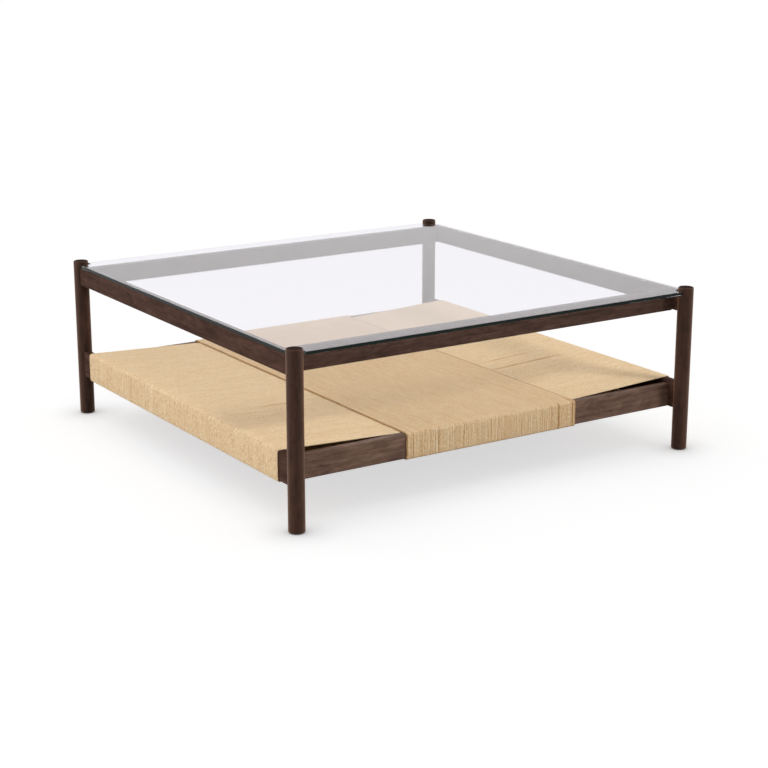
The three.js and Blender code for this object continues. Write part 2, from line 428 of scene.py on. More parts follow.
@dataclass(frozen=True)
class PaperCord(Finish):
    """Kraft paper twisted in three plies into a cord and lightly waxed.

    It gives the eye a pale straw cloth of fine runs, speckled by the slant of the plies, with
    each run a tone of its own, and a dull sheen. Shade is painted into the dips between the
    plies, and into the turns at a sheet's edges and beside its joints.
    """

    pale: str = "#f5e1bd"
    deep: str = "#d6af79"
    # Dark colour of the painted shade between the plies, at the sheet's edges and beside joints
    painted_groove_shade: str = "#7f4b20"
    plies: int = 3
    lay_length: float = 15 * MM
    ply_relief: float = 0.25 * MM
    relief_strength: float = 0.6
    groove_width: float = 0.5
    groove_share: float = 0.7
    speckle_length: float = 6 * MM
    speckle_width: float = 3 * MM
    speckle_share: float = 2.7
    speckle_detail: float = 2.0
    roughness: float = 0.5
    sheen_level: float = 0.6

    def surface(self, tree: NodeTree) -> Node:
        """Adds the plies and the speckle, on the cord's own UV map, tone and share of speckle.

        A ply's height is the size of the sine of its place along and round the cord.

        Args:
            tree: The material's tree.

        Returns:
            The cord's shader.
        """
        uv = add(tree, "UVMap", uv_map=Winding.UV_LAYER)
        parts = add(tree, "SeparateXYZ", {0: uv})
        turn = add(tree, "Math", {
            0: parts.outputs[0], 1: 1 / self.lay_length, 2: parts.outputs[1],
        }, operation="MULTIPLY_ADD")
        phase = add(tree, "Math", {0: turn, 1: math.pi * self.plies}, operation="MULTIPLY")
        wave = add(tree, "Math", {0: phase}, operation="SINE")
        ply = add(tree, "Math", {0: wave}, operation="ABSOLUTE")
        mapping = add(tree, "Mapping", {
            "Vector": uv,
            "Scale": (1 / self.speckle_length,
                      math.pi * Winding.diameter / self.speckle_width, 1),
        })
        speckle = add(tree, "TexNoise", {
            "Vector": mapping, "Scale": 1.0, "Detail": self.speckle_detail,
        })
        centred = add(tree, "Math", {0: speckle, 1: NOISE_MIDDLE}, operation="SUBTRACT")
        tone, speck = (add(tree, "Attribute", attribute_name=name).outputs["Fac"]
                       for name in (Winding.TONE, Winding.SPECK))
        share = add(tree, "Math", {0: speck, 1: self.speckle_share}, operation="MULTIPLY")
        mixed = add(tree, "Math", {0: centred, 1: share, 2: tone}, operation="MULTIPLY_ADD")
        run = add(tree, "Mix", {0: mixed, 6: linear(self.deep), 7: linear(self.pale)},
                  data_type="RGBA")
        # Painted shade: where a ply dips low between its neighbours, the colour goes towards the
        # dark colour
        painted_crease_shade = add(tree, "MapRange", {
            "Value": ply, "From Max": self.groove_width, "To Min": self.groove_share,
            "To Max": 0.0,
        })
        # A tone below the deep one goes on towards the same dark colour: painted shade at the
        # sheet's edges and beside its joints
        shade = add(tree, "MapRange", {"Value": mixed, "From Min": 0.0, "From Max": -1.0})
        painted_shade_share = add(tree, "Math", {0: painted_crease_shade, 1: shade}, operation="MAXIMUM")
        colour = add(tree, "Mix", {0: painted_shade_share, 6: run.outputs[2], 7: linear(self.painted_groove_shade)},
                     data_type="RGBA")
        bump = add(tree, "Bump", {
            "Strength": self.relief_strength, "Distance": self.ply_relief, "Height": ply,
        })
        return add(tree, "BsdfPrincipled", {
            "Base Color": colour.outputs[2], "Roughness": self.roughness, "Normal": bump,
            "IOR": WAX_IOR, "Specular IOR Level": self.sheen_level,
        })


@dataclass(frozen=True)
class ClearSolid(Finish):
    """A clear solid: the faces of the float glass, or a soft moulded vinyl pad.

    The glass is drawn out flat with the faintest waves. At a low angle it gives the eye the
    white studio mirrored over what lies below. A pad is pressed to the glass, so that it hardly
    mirrors and the wood shows through it.
    """

    ior: float
    tint: str
    waves: Unevenness
    roughness: float = 0.0
    shade: str = "#fafafb"

    def surface(self, tree: NodeTree) -> Node:
        """Adds the clear shader. Lamps and diffuse light pass straight through, a little dimmed.

        Args:
            tree: The material's tree.

        Returns:
            The clear shader, mixed by the kind of ray.
        """
        light = add(tree, "LightPath")
        through = add(tree, "Math", {
            0: light.outputs["Is Shadow Ray"], 1: light.outputs["Is Diffuse Ray"],
        }, operation="MAXIMUM")
        glass = add(tree, "BsdfPrincipled", {
            "Base Color": linear(self.tint), "Roughness": self.roughness, "IOR": self.ior,
            "Transmission Weight": 1.0, "Normal": self.waves.bump(tree),
        })
        clear = add(tree, "BsdfTransparent", {"Color": linear(self.shade)})
        return add(tree, "MixShader", {0: through, 1: glass, 2: clear})


@dataclass(frozen=True)
class GlassEdge(Finish):
    """The edge of the pane, ground flat and then polished, or left ground.

    Light reaches a polished edge through the whole pane, so it gives the eye a dark green line.
    A ground edge scatters light and looks a pale sea green.
    """

    colour: str
    roughness: float
    sheen_level: float
    waves: Unevenness = Unevenness(60 * MM, 0.15 * MM, strength=0.3, detail=1.0)
    grit: float = 0.5 * MM
    grit_detail: float = 1.0
    grit_share: float = 0.4

    def surface(self, tree: NodeTree) -> Node:
        """Adds the edge's shader, with the slight waves and the grit that grinding leaves.

        Args:
            tree: The material's tree.

        Returns:
            The edge's shader, clear from within the pane.
        """
        coordinates = add(tree, "TexCoord")
        grit = add(tree, "TexNoise", {
            "Vector": coordinates.outputs["Object"], "Scale": 1 / self.grit,
            "Detail": self.grit_detail,
        })
        roughness = add(tree, "MapRange", {
            "Value": grit, "To Min": self.roughness * (1 - self.grit_share),
            "To Max": self.roughness * (1 + self.grit_share),
        })
        shader = add(tree, "BsdfPrincipled", {
            "Base Color": linear(self.colour), "Roughness": roughness, "IOR": GLASS_IOR,
            "Specular IOR Level": self.sheen_level, "Normal": self.waves.bump(tree),
        })
        clear = add(tree, "BsdfTransparent")
        side = add(tree, "NewGeometry")
        return add(tree, "MixShader", {0: side.outputs["Backfacing"], 1: shader, 2: clear})


@dataclass(frozen=True)
class Moulding(Finish):
    """A small moulded or milled part, with the fine grain of its mould or its cutting.

    It gives the eye a soft even sheen, broken a little by that texture.
    """

    colour: str
    roughness: float
    grain: Unevenness = Unevenness(0.4 * MM, 0.02 * MM)

    def surface(self, tree: NodeTree) -> Node:
        """Adds the part's shader, on the bumps of its grain, and returns it."""
        return add(tree, "BsdfPrincipled", {
            "Base Color": linear(self.colour), "Roughness": self.roughness,
            "IOR": LACQUER_IOR, "Normal": self.grain.bump(tree),
        })


@dataclass(frozen=True)
class WhiteFloor(Finish):
    """The studio's floor: matt and pale, and white where it is seen out of the shadow.

    What the camera sees is painted a little cooler under the table, against the cord's warm
    bounced light, and its glow is dimmed close to the legs' feet as a painted contact shadow.
    """

    colour: Triple = (0.8, 0.8, 0.8)
    shown_colour: Triple = (0.69, 0.69, 0.69)
    glow: float = 0.05
    shown_glow: float = 0.60
    cool_white: Triple = (0.963, 0.993, 1.037)
    cool_core: float = 450 * MM
    cool_reach: float = 900 * MM
    contact_reach: float = 90 * MM
    contact_power: float = 1.2
    contact_samples: int = 4

    def surface(self, tree: NodeTree) -> Node:
        """Adds a matt shader and a glow that lifts what the camera sees to white.

        Args:
            tree: The material's tree.

        Returns:
            The sum of both shaders.
        """
        shown = backdrop_share(tree)
        colour = add(tree, "Mix", {0: shown, 6: (*self.colour, 1), 7: (*self.shown_colour, 1)},
                     data_type="RGBA")
        matt = add(tree, "BsdfDiffuse", {"Color": colour.outputs[2]})
        glow = add(tree, "MapRange", {
            "Value": shown, "To Min": self.glow, "To Max": self.shown_glow,
        })
        # Painted contact shadow: the glow is dimmed by ambient occlusion near the legs
        contact = add(tree, "AmbientOcclusion", {"Distance": self.contact_reach},
                      samples=self.contact_samples)
        shade = add(tree, "Math", {0: contact.outputs["AO"], 1: self.contact_power},
                    operation="POWER")
        dimmed = add(tree, "Math", {0: glow, 1: shade}, operation="MULTIPLY")
        spot = add(tree, "NewGeometry")
        away = add(tree, "VectorMath", {0: spot.outputs["Position"]}, operation="LENGTH")
        # Painted cooler white under the table, against the warm light bounced from the cord
        under = add(tree, "MapRange", {
            "Value": away.outputs["Value"], "From Min": self.cool_reach,
            "From Max": self.cool_core,
        }, interpolation_type="SMOOTHSTEP")
        cooled = add(tree, "Mix", {0: under, 6: WHITE, 7: (*self.cool_white, 1)},
                     data_type="RGBA")
        white = add(tree, "Emission", {"Color": cooled.outputs[2], "Strength": dimmed})
        return add(tree, "AddShader", {0: matt, 1: white})


@dataclass
class TurnedPart:
    """A part turned about an upright axis through its solid's box."""

    node: str
    finish: Material
    slot: str
    sides: int = 64
    round_steps: int = 6

    def corners(self, foot: float, top: float, radius: float) -> list[Triple]:
        """Each corner's radius, height and easing, negative where it looks up, foot first."""
        raise NotImplementedError

    def profile(self) -> np.ndarray:
        """Carries the outline up the part, with each outer corner eased by a quarter round.

        Returns:
            Radius and height of each point, as an array.
        """
        low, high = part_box(self.node)
        points = []
        for radius, height, easing in self.corners(low.z, high.z, (high.x - low.x) / 2):
            size = abs(easing)
            start = 0 if easing < 0 else -math.pi / 2
            angles = np.linspace(start, start + math.pi / 2, self.round_steps)
            points.append(np.stack([radius - size + size * np.cos(angles),
                                    height + easing + size * np.sin(angles)], axis=1))
        return np.concatenate(points)

    def make(self) -> Object:
        """Turns the profile about the axis: x and y are the radius times cosine and sine.

        Returns:
            The part's object.
        """
        low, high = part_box(self.node)
        centre = (low + high) / 2
        outline = self.profile()
        angles = np.arange(self.sides) / self.sides * 2 * math.pi
        rings = np.stack([
            centre.x + outline[:, :1] * np.cos(angles),
            centre.y + outline[:, :1] * np.sin(angles),
            outline[:, 1:] + np.zeros(self.sides),
        ], axis=-1)
        mesh = swept_mesh(self.node + "_skin", rings)
        return place(self.node + "_turned", mesh, self.finish, BASE, self.slot, self.node)


@dataclass
class Leg(TurnedPart):
    """A leg: turned dowel with an eased top and foot, whose end grain stays dull."""

    end_finish: Material = field(kw_only=True)
    slot: str = "stained_wood"
    top_round: float = 3 * MM
    foot_round: float = 1.5 * MM
    end_facing: float = 0.9

    def corners(self, foot: float, top: float, radius: float) -> list[Triple]:
        """The foot's corner and the top's."""
        return [(radius, foot, self.foot_round), (radius, top, -self.top_round)]

    def make(self) -> Object:
        """Turns the leg, and gives the faces that look straight up or down the end finish.

        Returns:
            The leg's object.
        """
        leg = super().make()
        leg.data.materials.append(self.end_finish)
        normals = np.zeros(3 * len(leg.data.polygons), np.float32)
        leg.data.polygons.foreach_get("normal", normals)
        ends = np.abs(normals[2::3]) > self.end_facing
        leg.data.polygons.foreach_set("material_index", ends.astype(np.int32))
        return leg


@dataclass
class Glide(TurnedPart):
    """A floor glide under a leg: a nylon button with a shank."""

    slot: str = "nylon"
    thickness: float = 2.2 * MM
    edge_round: float = 1 * MM
    rim_round: float = 0.1 * MM
    shank_radius: float = 2 * MM
    tip_round: float = 1 * MM

    def corners(self, foot: float, top: float, radius: float) -> list[Triple]:
        """The button's lower and upper corner, the shank's root and its tip."""
        return [
            (radius, foot, self.edge_round),
            (radius, self.thickness, -self.rim_round),
            (self.shank_radius, self.thickness, self.rim_round),
            (self.shank_radius, top, -self.tip_round),
        ]


@dataclass
class Pad(TurnedPart):
    """A clear pad between an apron and the glass.

    It stands a hair clear of the wood and the glass, so that the light inside it gets out.
    """

    slot: str = "clear_vinyl"
    top_round: float = 0.5 * MM
    foot_round: float = 0.05 * MM
    foot_gap: float = 0.05 * MM

    def corners(self, foot: float, top: float, radius: float) -> list[Triple]:
        """The pad's foot and its rounded rim."""
        return [
            (radius, foot + self.foot_gap, self.foot_round),
            (radius, top - self.foot_gap, -self.top_round),
        ]


@dataclass
class Board:
    """An apron or a lower rail: a board with eased long edges.

    A side board is coped round both legs, and a cross board is cut square.
    """

    node: str
    run: Axis
    easing: float
    finish: Material
    cope_radius: float = 0.0
    cope_centre: float = 0.0
    corner_steps: int = 6
    face_steps: int = 5
    stations: int = 25
    cap_shares: tuple[float, ...] = (0.15, 0.4, 0.7, 0.9)

    def section(self, thickness: float, height: float) -> np.ndarray:
        """Walks round a rectangle with quarter-round corners, anticlockwise about the run.

        Args:
            thickness: The board's thickness.
            height: The board's height.

        Returns:
            Upward and sideways offsets from the board's middle, one row a point.
        """
        up, side = height / 2 - self.easing, thickness / 2 - self.easing
        rows = []
        for turn, (sign_up, sign_side) in enumerate([(1, 1), (-1, 1), (-1, -1), (1, -1)]):
            angles = np.linspace(0, math.pi / 2, self.corner_steps) + turn * math.pi / 2
            rows.append(np.stack([sign_up * up + self.easing * np.cos(angles),
                                  sign_side * side + self.easing * np.sin(angles)], axis=1))
        full = []
        for corner, following in zip(rows, rows[1:] + rows[:1]):
            full += [corner, between(corner[-1], following[0], self.face_steps)]
        return np.concatenate(full)

    def half_length(self, sideways: np.ndarray, square_end: float) -> np.ndarray:
        """Distance from the board's middle to its end, at each sideways offset.

        A cope is a cylinder, so its end is the leg's distance less the root of the cylinder's
        radius squared less the offset squared.

        Args:
            sideways: Sideways offsets from the board's middle.
            square_end: The end's distance where there is no cope.

        Returns:
            The distances, in the offsets' shape.
        """
        if not self.cope_radius:
            return np.full_like(sideways, square_end)
        return self.cope_centre - np.sqrt(self.cope_radius ** 2 - sideways ** 2)

    def make(self) -> None:
        """Carries the section along the run, and shrinks it to a point across each end."""
        low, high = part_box(self.node)
        middle, size = np.array((low + high) / 2), np.array(high - low)
        along = self.run.value
        across = 1 - along
        section = self.section(size[across], size[2])
        shares = np.array(self.cap_shares)[:, None]
        caps = section[None] * shares[..., None]
        body = np.repeat(section[None], self.stations, axis=0)
        outline = np.concatenate([caps, body, caps[::-1]])
        reach = self.half_length(outline[..., 1], size[along] / 2)
        steps = np.concatenate([
            np.full(len(shares), -1.0), np.linspace(-1, 1, self.stations),
            np.full(len(shares), 1.0),
        ])[:, None]
        # Sideways is to the right of the run, so that the section goes anticlockwise about it
        right = 1 if self.run is Axis.Y else -1
        rings = np.empty((*outline.shape[:2], 3))
        rings[..., along] = middle[along] + steps * reach
        rings[..., across] = middle[across] + right * outline[..., 1]
        rings[..., 2] = middle[2] + outline[..., 0]
        mesh = swept_mesh(self.node + "_skin", rings)
        place(self.node + "_board", mesh, self.finish, BASE, "stained_wood", self.node)


@dataclass
class GlassTop:
    """The glass: a square pane with a round notch at each leg and flat arrissed edges."""

    CORNERS = 4
    EDGE_SLOT, NOTCH_SLOT = 1, 2

    node: str
    face: Material
    edge: Material
    notch: Material
    leg_centre: float
    notch_radius: float = 24 * MM
    arris: float = 0.8 * MM
    notch_steps: int = 32
    edge_steps: int = 24

    def outline(self, reach: float, inset: float) -> np.ndarray:
        """Walks round the pane anticlockwise, with an arc into each corner's notch.

        Args:
            reach: Half the pane's width.
            inset: How far the outline is drawn in from the pane's edge.

        Returns:
            X and Y of each point, one row a point.
        """
        half = reach - inset
        radius = self.notch_radius + inset
        depth = half - self.leg_centre
        along = math.sqrt(radius ** 2 - depth ** 2)
        start = math.atan2(-along, depth)
        end = math.atan2(depth, -along) - 2 * math.pi
        angles = np.linspace(start, end, self.notch_steps)
        arc = self.leg_centre + radius * np.stack([np.cos(angles), np.sin(angles)], axis=1)
        side = between(arc[-1], arc[-1] * [-1, 1], self.edge_steps - 1)
        quarter = np.concatenate([arc, side])
        turns = np.arange(self.CORNERS) * math.pi / 2
        spin = np.array([[np.cos(turns), -np.sin(turns)], [np.sin(turns), np.cos(turns)]])
        return np.einsum("ijk,nj->kni", spin, quarter).reshape(-1, 2)

    def make(self) -> Object:
        """Stacks four outlines: the lower face, the edge's two lines and the upper face.

        Returns:
            The pane's object.
        """
        low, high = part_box(self.node)
        rings = []
        for inset, height in ((self.arris, low.z), (0.0, low.z + self.arris),
                              (0.0, high.z - self.arris), (self.arris, high.z)):
            line = self.outline(high.x, inset)
            rings.append(np.column_stack([line, np.full(len(line), height)]))
        mesh = swept_mesh(self.node + "_skin", np.stack(rings))
        pane = place("glass_pane", mesh, self.face, TOP, "float_glass", self.node)
        mesh.materials.append(self.edge)
        mesh.materials.append(self.notch)
        # The second row of faces is the upright edge, and the arrises stay as clear as the pane
        quarter = np.repeat([self.NOTCH_SLOT, self.EDGE_SLOT],
                            [self.notch_steps - 1, self.edge_steps - 1])
        side = np.tile(quarter, self.CORNERS)
        finish = np.zeros(len(mesh.polygons), dtype=np.int32)
        finish[len(side):2 * len(side)] = side
        mesh.polygons.foreach_set("material_index", finish)
        return pane


@dataclass(frozen=True)
class Joint:
    """A place where two neighbouring turns have drawn apart and leave a dark line.

    Its place is across the turns, and its shade is how far it lowers the tone of the turns beside
    it, which paints the gap's shade onto them. It runs between two lengths along the turn,
    measured from the middle of the upper layer towards the second rail.
    """

    place: float
    width: float
    shade: float
    start: float
    end: float

    def window(self, travel: np.ndarray) -> np.ndarray:
        """How open the joint is along a turn: one in the middle, and nothing past its ends."""
        middle, reach = (self.start + self.end) / 2, (self.end - self.start) / 2
        return np.clip(1 - ((travel - middle) / reach) ** 2, 0, None) ** LATE_FADE


@dataclass
class Winding:
    """One sheet of the shelf: a single cord wound round and round two rails.

    Each turn goes over the shelf, round the second rail, back under the shelf and round the first
    rail, and moves on by one cord's width while it is underneath. Both ends are turned up behind
    a rail.
    """

    UV_LAYER = "Cord"
    TONE = "tone"
    SPECK = "speckle"

    name: str
    node: str
    run: Axis
    rails: tuple[str, str]
    finish: Material
    upper_level: float
    lower_level: float
    level_reach: float
    seed: int
    pieces: int = 1
    joints: tuple[Joint, ...] = ()
    diameter: float = 3 * MM
    stand_off: float = 0.3 * MM
    rail_easing: float = 3.5 * MM
    tail: float = 24 * MM
    sides: int = 8
    arc_steps: int = 3
    level_steps: int = 8
    slope_steps: int = 12
    face_steps: int = 4
    hidden_steps: int = 2
    sway: float = 0.12 * MM
    lift: float = 0.09 * MM
    sway_lengths: tuple[float, ...] = (67 * MM, 131 * MM, 290 * MM)
    stray: float = 0.12 * MM
    tone: float = 0.5
    tone_spread: float = 0.12
    tone_drift: float = 0.012
    drift_turns: int = 13
    tone_patch: float = 0.08
    level_calm: float = 0.35
    level_speckle: float = 0.5
    joint_fade: float = 12 * MM
    least_step: float = 0.01 * MM
    # How far the two edge turns' tone is lowered: painted shade for the seam beside them
    edge_shade: float = 0.0

    def half_turn(self) -> tuple[np.ndarray, np.ndarray]:
        """Lays the cord's centre line from the upper layer's middle to the lower layer's middle.

        Straight stretches follow the rail's faces, a cord's radius off them, and quarter arcs
        go round its eased outer corners.

        Returns:
            Distance out and height of each point, and the length along the line at each.
        """
        low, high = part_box(self.rails[1])
        axis = self.run.value
        offset = self.stand_off + self.diameter / 2
        radius = self.rail_easing + offset
        inner, outer = low[axis] + self.rail_easing, high[axis] - self.rail_easing
        top, bottom = high.z - self.rail_easing, low.z + self.rail_easing
        quarter = np.linspace(0, math.pi / 2, self.arc_steps + 1)
        upper = np.stack([outer + radius * np.sin(quarter), top + radius * np.cos(quarter)], 1)
        lower = np.stack([outer + radius * np.cos(quarter), bottom - radius * np.sin(quarter)], 1)
        stretches = [
            (np.array([[0.0, self.upper_level]]), self.level_steps),
            (np.array([[self.level_reach, self.upper_level]]), self.slope_steps),
            (np.array([[inner, high.z + offset]]), 1),
            (upper, self.face_steps),
            (lower, 1),
            (np.array([[inner, low.z - offset]]), self.hidden_steps),
            (np.array([[self.level_reach, self.lower_level]]), self.hidden_steps),
            (np.array([[0.0, self.lower_level]]), 0),
        ]
        path = []
        for (stretch, steps), (following, _) in zip(stretches, stretches[1:]):
            path += [stretch, between(stretch[-1], following[0], steps)]
        line = np.concatenate([*path, stretches[-1][0]])
        return line, lengths_along(line)

    def end_tail(self) -> np.ndarray:
        """Turns a cord's end up behind the second rail: a quarter arc and a straight stretch.

        Returns:
            Distance out and height of each point.
        """
        low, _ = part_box(self.rails[1])
        inner = low[self.run.value]
        offset = self.stand_off + self.diameter / 2
        radius = self.rail_easing + offset
        quarter = np.linspace(0, math.pi / 2, self.arc_steps + 1)
        arc = np.stack([inner + self.rail_easing - radius * np.sin(quarter),
                        low.z + self.rail_easing - radius * np.cos(quarter)], axis=1)
        return np.concatenate([arc, [[inner - offset, low.z + self.tail]]])

    def wander(self, places: np.ndarray, travel: np.ndarray,
               bend: np.ndarray) -> tuple[np.ndarray, np.ndarray]:
        """How far each turn strays sideways and outwards along its path.

        Each is a sum of sine waves along the cord with random phases, faded out underneath, and
        a turn as a whole lies a little aside. A joint pushes the turns on either side of it
        apart by half its width, which fades out over a few turns.

        Args:
            places: Each turn's place across the sheet.
            travel: Length along the turn at each point, from the middle of the upper layer.
            bend: How strongly the turns differ at each point.

        Returns:
            Sideways and outward offsets, one row a turn and one column a point.
        """
        chance = np.random.default_rng(self.seed)
        offsets = []
        for size in (self.sway, self.lift):
            waves = np.zeros((len(places), len(travel)))
            for length in self.sway_lengths:
                phase = chance.uniform(0, 2 * math.pi, (len(places), 1))
                waves += size * np.sin(2 * math.pi * travel / length + phase)
            offsets.append(waves)
        aside, out = offsets
        aside += chance.normal(0, self.stray, (len(places), 1)) * bend
        for joint in self.joints:
            apart = places - joint.place
            push = np.sign(apart) * np.exp(-np.abs(apart) / self.joint_fade) * joint.width / 2
            aside += push[:, None] * joint.window(travel)
        fade = np.cos(math.pi / 2 * travel / np.abs(travel).max()) ** LATE_FADE
        return aside * fade, out * fade

    def centre_line(self) -> tuple[np.ndarray, np.ndarray, np.ndarray]:
        """Lays the whole cord: each turn in its place, and the tails at both ends.

        Returns:
            The line's points, and the outward direction and the shade at each: the tone, and
            the share of speckle.
        """
        low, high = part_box(self.node)
        axis, across = self.run.value, 1 - self.run.value
        half, length = self.half_turn()
        mirror = np.array([-1.0, 1.0])
        line = np.concatenate([half[:0:-1] * mirror, half])
        travel = np.concatenate([-length[:0:-1], length])
        count = round((high[across] - low[across]) / self.diameter)
        pitch = (high[across] - low[across]) / count
        places = low[across] + pitch * (np.arange(count) + 0.5)
        heading = unit(np.gradient(line, axis=0))
        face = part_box(self.rails[1])[1][axis] - self.rail_easing
        bend = np.where(np.abs(line[:, 0]) > face, 1.0, self.level_calm)
        aside, out = self.wander(places, travel, bend)
        underneath = line[:, 1] < line[:, 1].mean()
        corner = np.abs(line[underneath, 0]).max()
        moving_on = np.where(underneath, np.sign(travel) * (1 - np.abs(line[:, 0]) / corner), 0)
        turns = np.empty((count, len(line), 3))
        turns[..., axis] = line[:, 0] - out * heading[:, 1]
        turns[..., 2] = line[:, 1] + out * heading[:, 0]
        turns[..., across] = places[:, None] + aside + moving_on * pitch / 2
        outward = np.zeros((len(line), 3))
        outward[:, axis], outward[:, 2] = -heading[:, 1], heading[:, 0]
        outward = np.tile(outward, (count, 1))
        speckle = np.where(bend < 1, self.level_speckle, 1.0)
        shade = np.stack([self.tones(places, travel, bend).reshape(-1),
                          np.tile(speckle, count)], axis=1)
        points = turns.reshape(-1, 3)
        strides = np.linalg.norm(np.diff(points, axis=0), axis=1)
        keep = np.concatenate([[True], strides > self.least_step])
        # Both ends of the cord are cut where the lower layer comes to the rail, to turn up there
        flat = underneath & (travel > 0) & (np.abs(line[:, 0]) < corner - self.diameter)
        spare = np.count_nonzero(flat) - 1
        keep[:spare] = False
        keep[len(keep) - spare:] = False
        points, outward, shade = points[keep], outward[keep], shade[keep]
        tail = self.end_tail()
        rise = np.zeros((len(tail), 3))
        rise[:, axis], rise[:, 2] = tail[:, 0], tail[:, 1]
        first, last = rise[::-1].copy(), rise.copy()
        first[:, axis] *= -1
        first[:, across], last[:, across] = places[0], places[-1]
        back = np.zeros((len(tail), 3))
        back[:, axis] = 1.0
        return (np.concatenate([first, points, last]),
                np.concatenate([back, outward, -back]),
                np.pad(shade, ((len(tail), len(tail)), (0, 0)), "edge"))

    def make(self) -> None:
        """Carries a ring along the cord's line, in as many pieces as the sheet is made in.

        The ring's points are the centre plus the radius times the cosine of the angle along the
        outward direction and its sine along the line's sideways direction.
        """
        path, outward, shade = self.centre_line()
        heading = unit(np.gradient(path, axis=0))
        sideways = unit(np.cross(heading, outward))
        outward = np.cross(sideways, heading)
        angle = np.arange(self.sides) / self.sides * 2 * math.pi
        rings = path[:, None] + self.diameter / 2 * (
            np.cos(angle)[:, None] * outward[:, None] + np.sin(angle)[:, None] * sideways[:, None])
        travel = lengths_along(path)
        cuts = np.linspace(0, len(path) - 1, self.pieces + 1).astype(int)
        for number, (first, last) in enumerate(zip(cuts, cuts[1:] + 1), 1):
            name = f"{self.name}_{number}"
            mesh = swept_mesh(name + "_skin", rings[first:last])
            self.dress(mesh, travel[first:last], shade[first:last])
            place(name, mesh, self.finish, BASE, "paper_cord", self.node, crisp=False)

    def tones(self, places: np.ndarray, travel: np.ndarray, bend: np.ndarray) -> np.ndarray:
        """Gives each turn its tone: a slow drift across the sheet, a chance part and patches.

        The turns beside a joint and at the sheet's two edges get a lower tone: painted shade, for
        the shade that falls in the gaps and seams there.

        Args:
            places: Each turn's place across the sheet.
            travel: Length along the turn at each point.
            bend: How strongly the turns differ at each point.

        Returns:
            Tones, one row a turn and one column a point. One is pale and nothing is deep.
        """
        chance = np.random.default_rng(self.seed + 1)
        count = len(places)
        drift = np.convolve(chance.normal(0, 1, count + self.drift_turns - 1),
                            np.hanning(self.drift_turns), "valid")
        drift *= self.tone_drift / drift.std()
        own = chance.normal(0, self.tone_spread, (count, 1)) * bend
        tone = self.tone + drift[:, None] + own
        tone += chance.normal(0, self.tone_patch, tone.shape)
        # Painted shade on the sheet's two edge turns, for the seam beside them
        tone[[0, -1]] -= self.edge_shade
        # Painted shade on the turns beside each joint, for the shade in its gap
        for joint in self.joints:
            beside = np.abs(places - joint.place) < self.diameter
            tone -= joint.shade * beside[:, None] * joint.window(travel)
        return tone

    def dress(self, mesh: Mesh, travel: np.ndarray, shade: np.ndarray) -> None:
        """Gives the cord its own UV map, in metres along it and turns round it, and its shade.

        Args:
            mesh: A piece of the cord's skin.
            travel: Length along the cord at each ring.
            shade: The tone and the share of speckle at each ring.
        """
        # The corners of a face: one ring's two points, and the next ring's two the other way
        along = travel[np.arange(len(travel) - 1)[:, None, None] + [0, 0, 1, 1]]
        turned = (np.arange(self.sides)[:, None] + [0, 1, 1, 0]) / self.sides
        quads = np.stack(np.broadcast_arrays(along, turned), axis=-1)
        ends = np.zeros((2 * self.sides, 3, 2))
        layer = mesh.uv_layers.new(name=self.UV_LAYER)
        uv = np.concatenate([quads.reshape(-1), ends.reshape(-1)])
        layer.data.foreach_set("uv", uv.astype(np.float32))
        for name, value in zip((self.TONE, self.SPECK), shade.T):
            values = np.append(np.repeat(value, self.sides), value[[0, -1]])
            attribute = mesh.attributes.new(name, "FLOAT", "POINT")
            attribute.data.foreach_set("value", values.astype(np.float32))


@dataclass(frozen=True)
class Lamp:
    """A broad lamp so far away that it lights every spot alike.

    Its direction points from the table towards it, its spread is the angle that it fills, in
    degrees, and its level is how bright it makes a surface that faces it, as a share of the
    surface's own colour.
    """

    name: str
    direction: Triple
    spread: float
    level: float
    lights_floor: bool = False


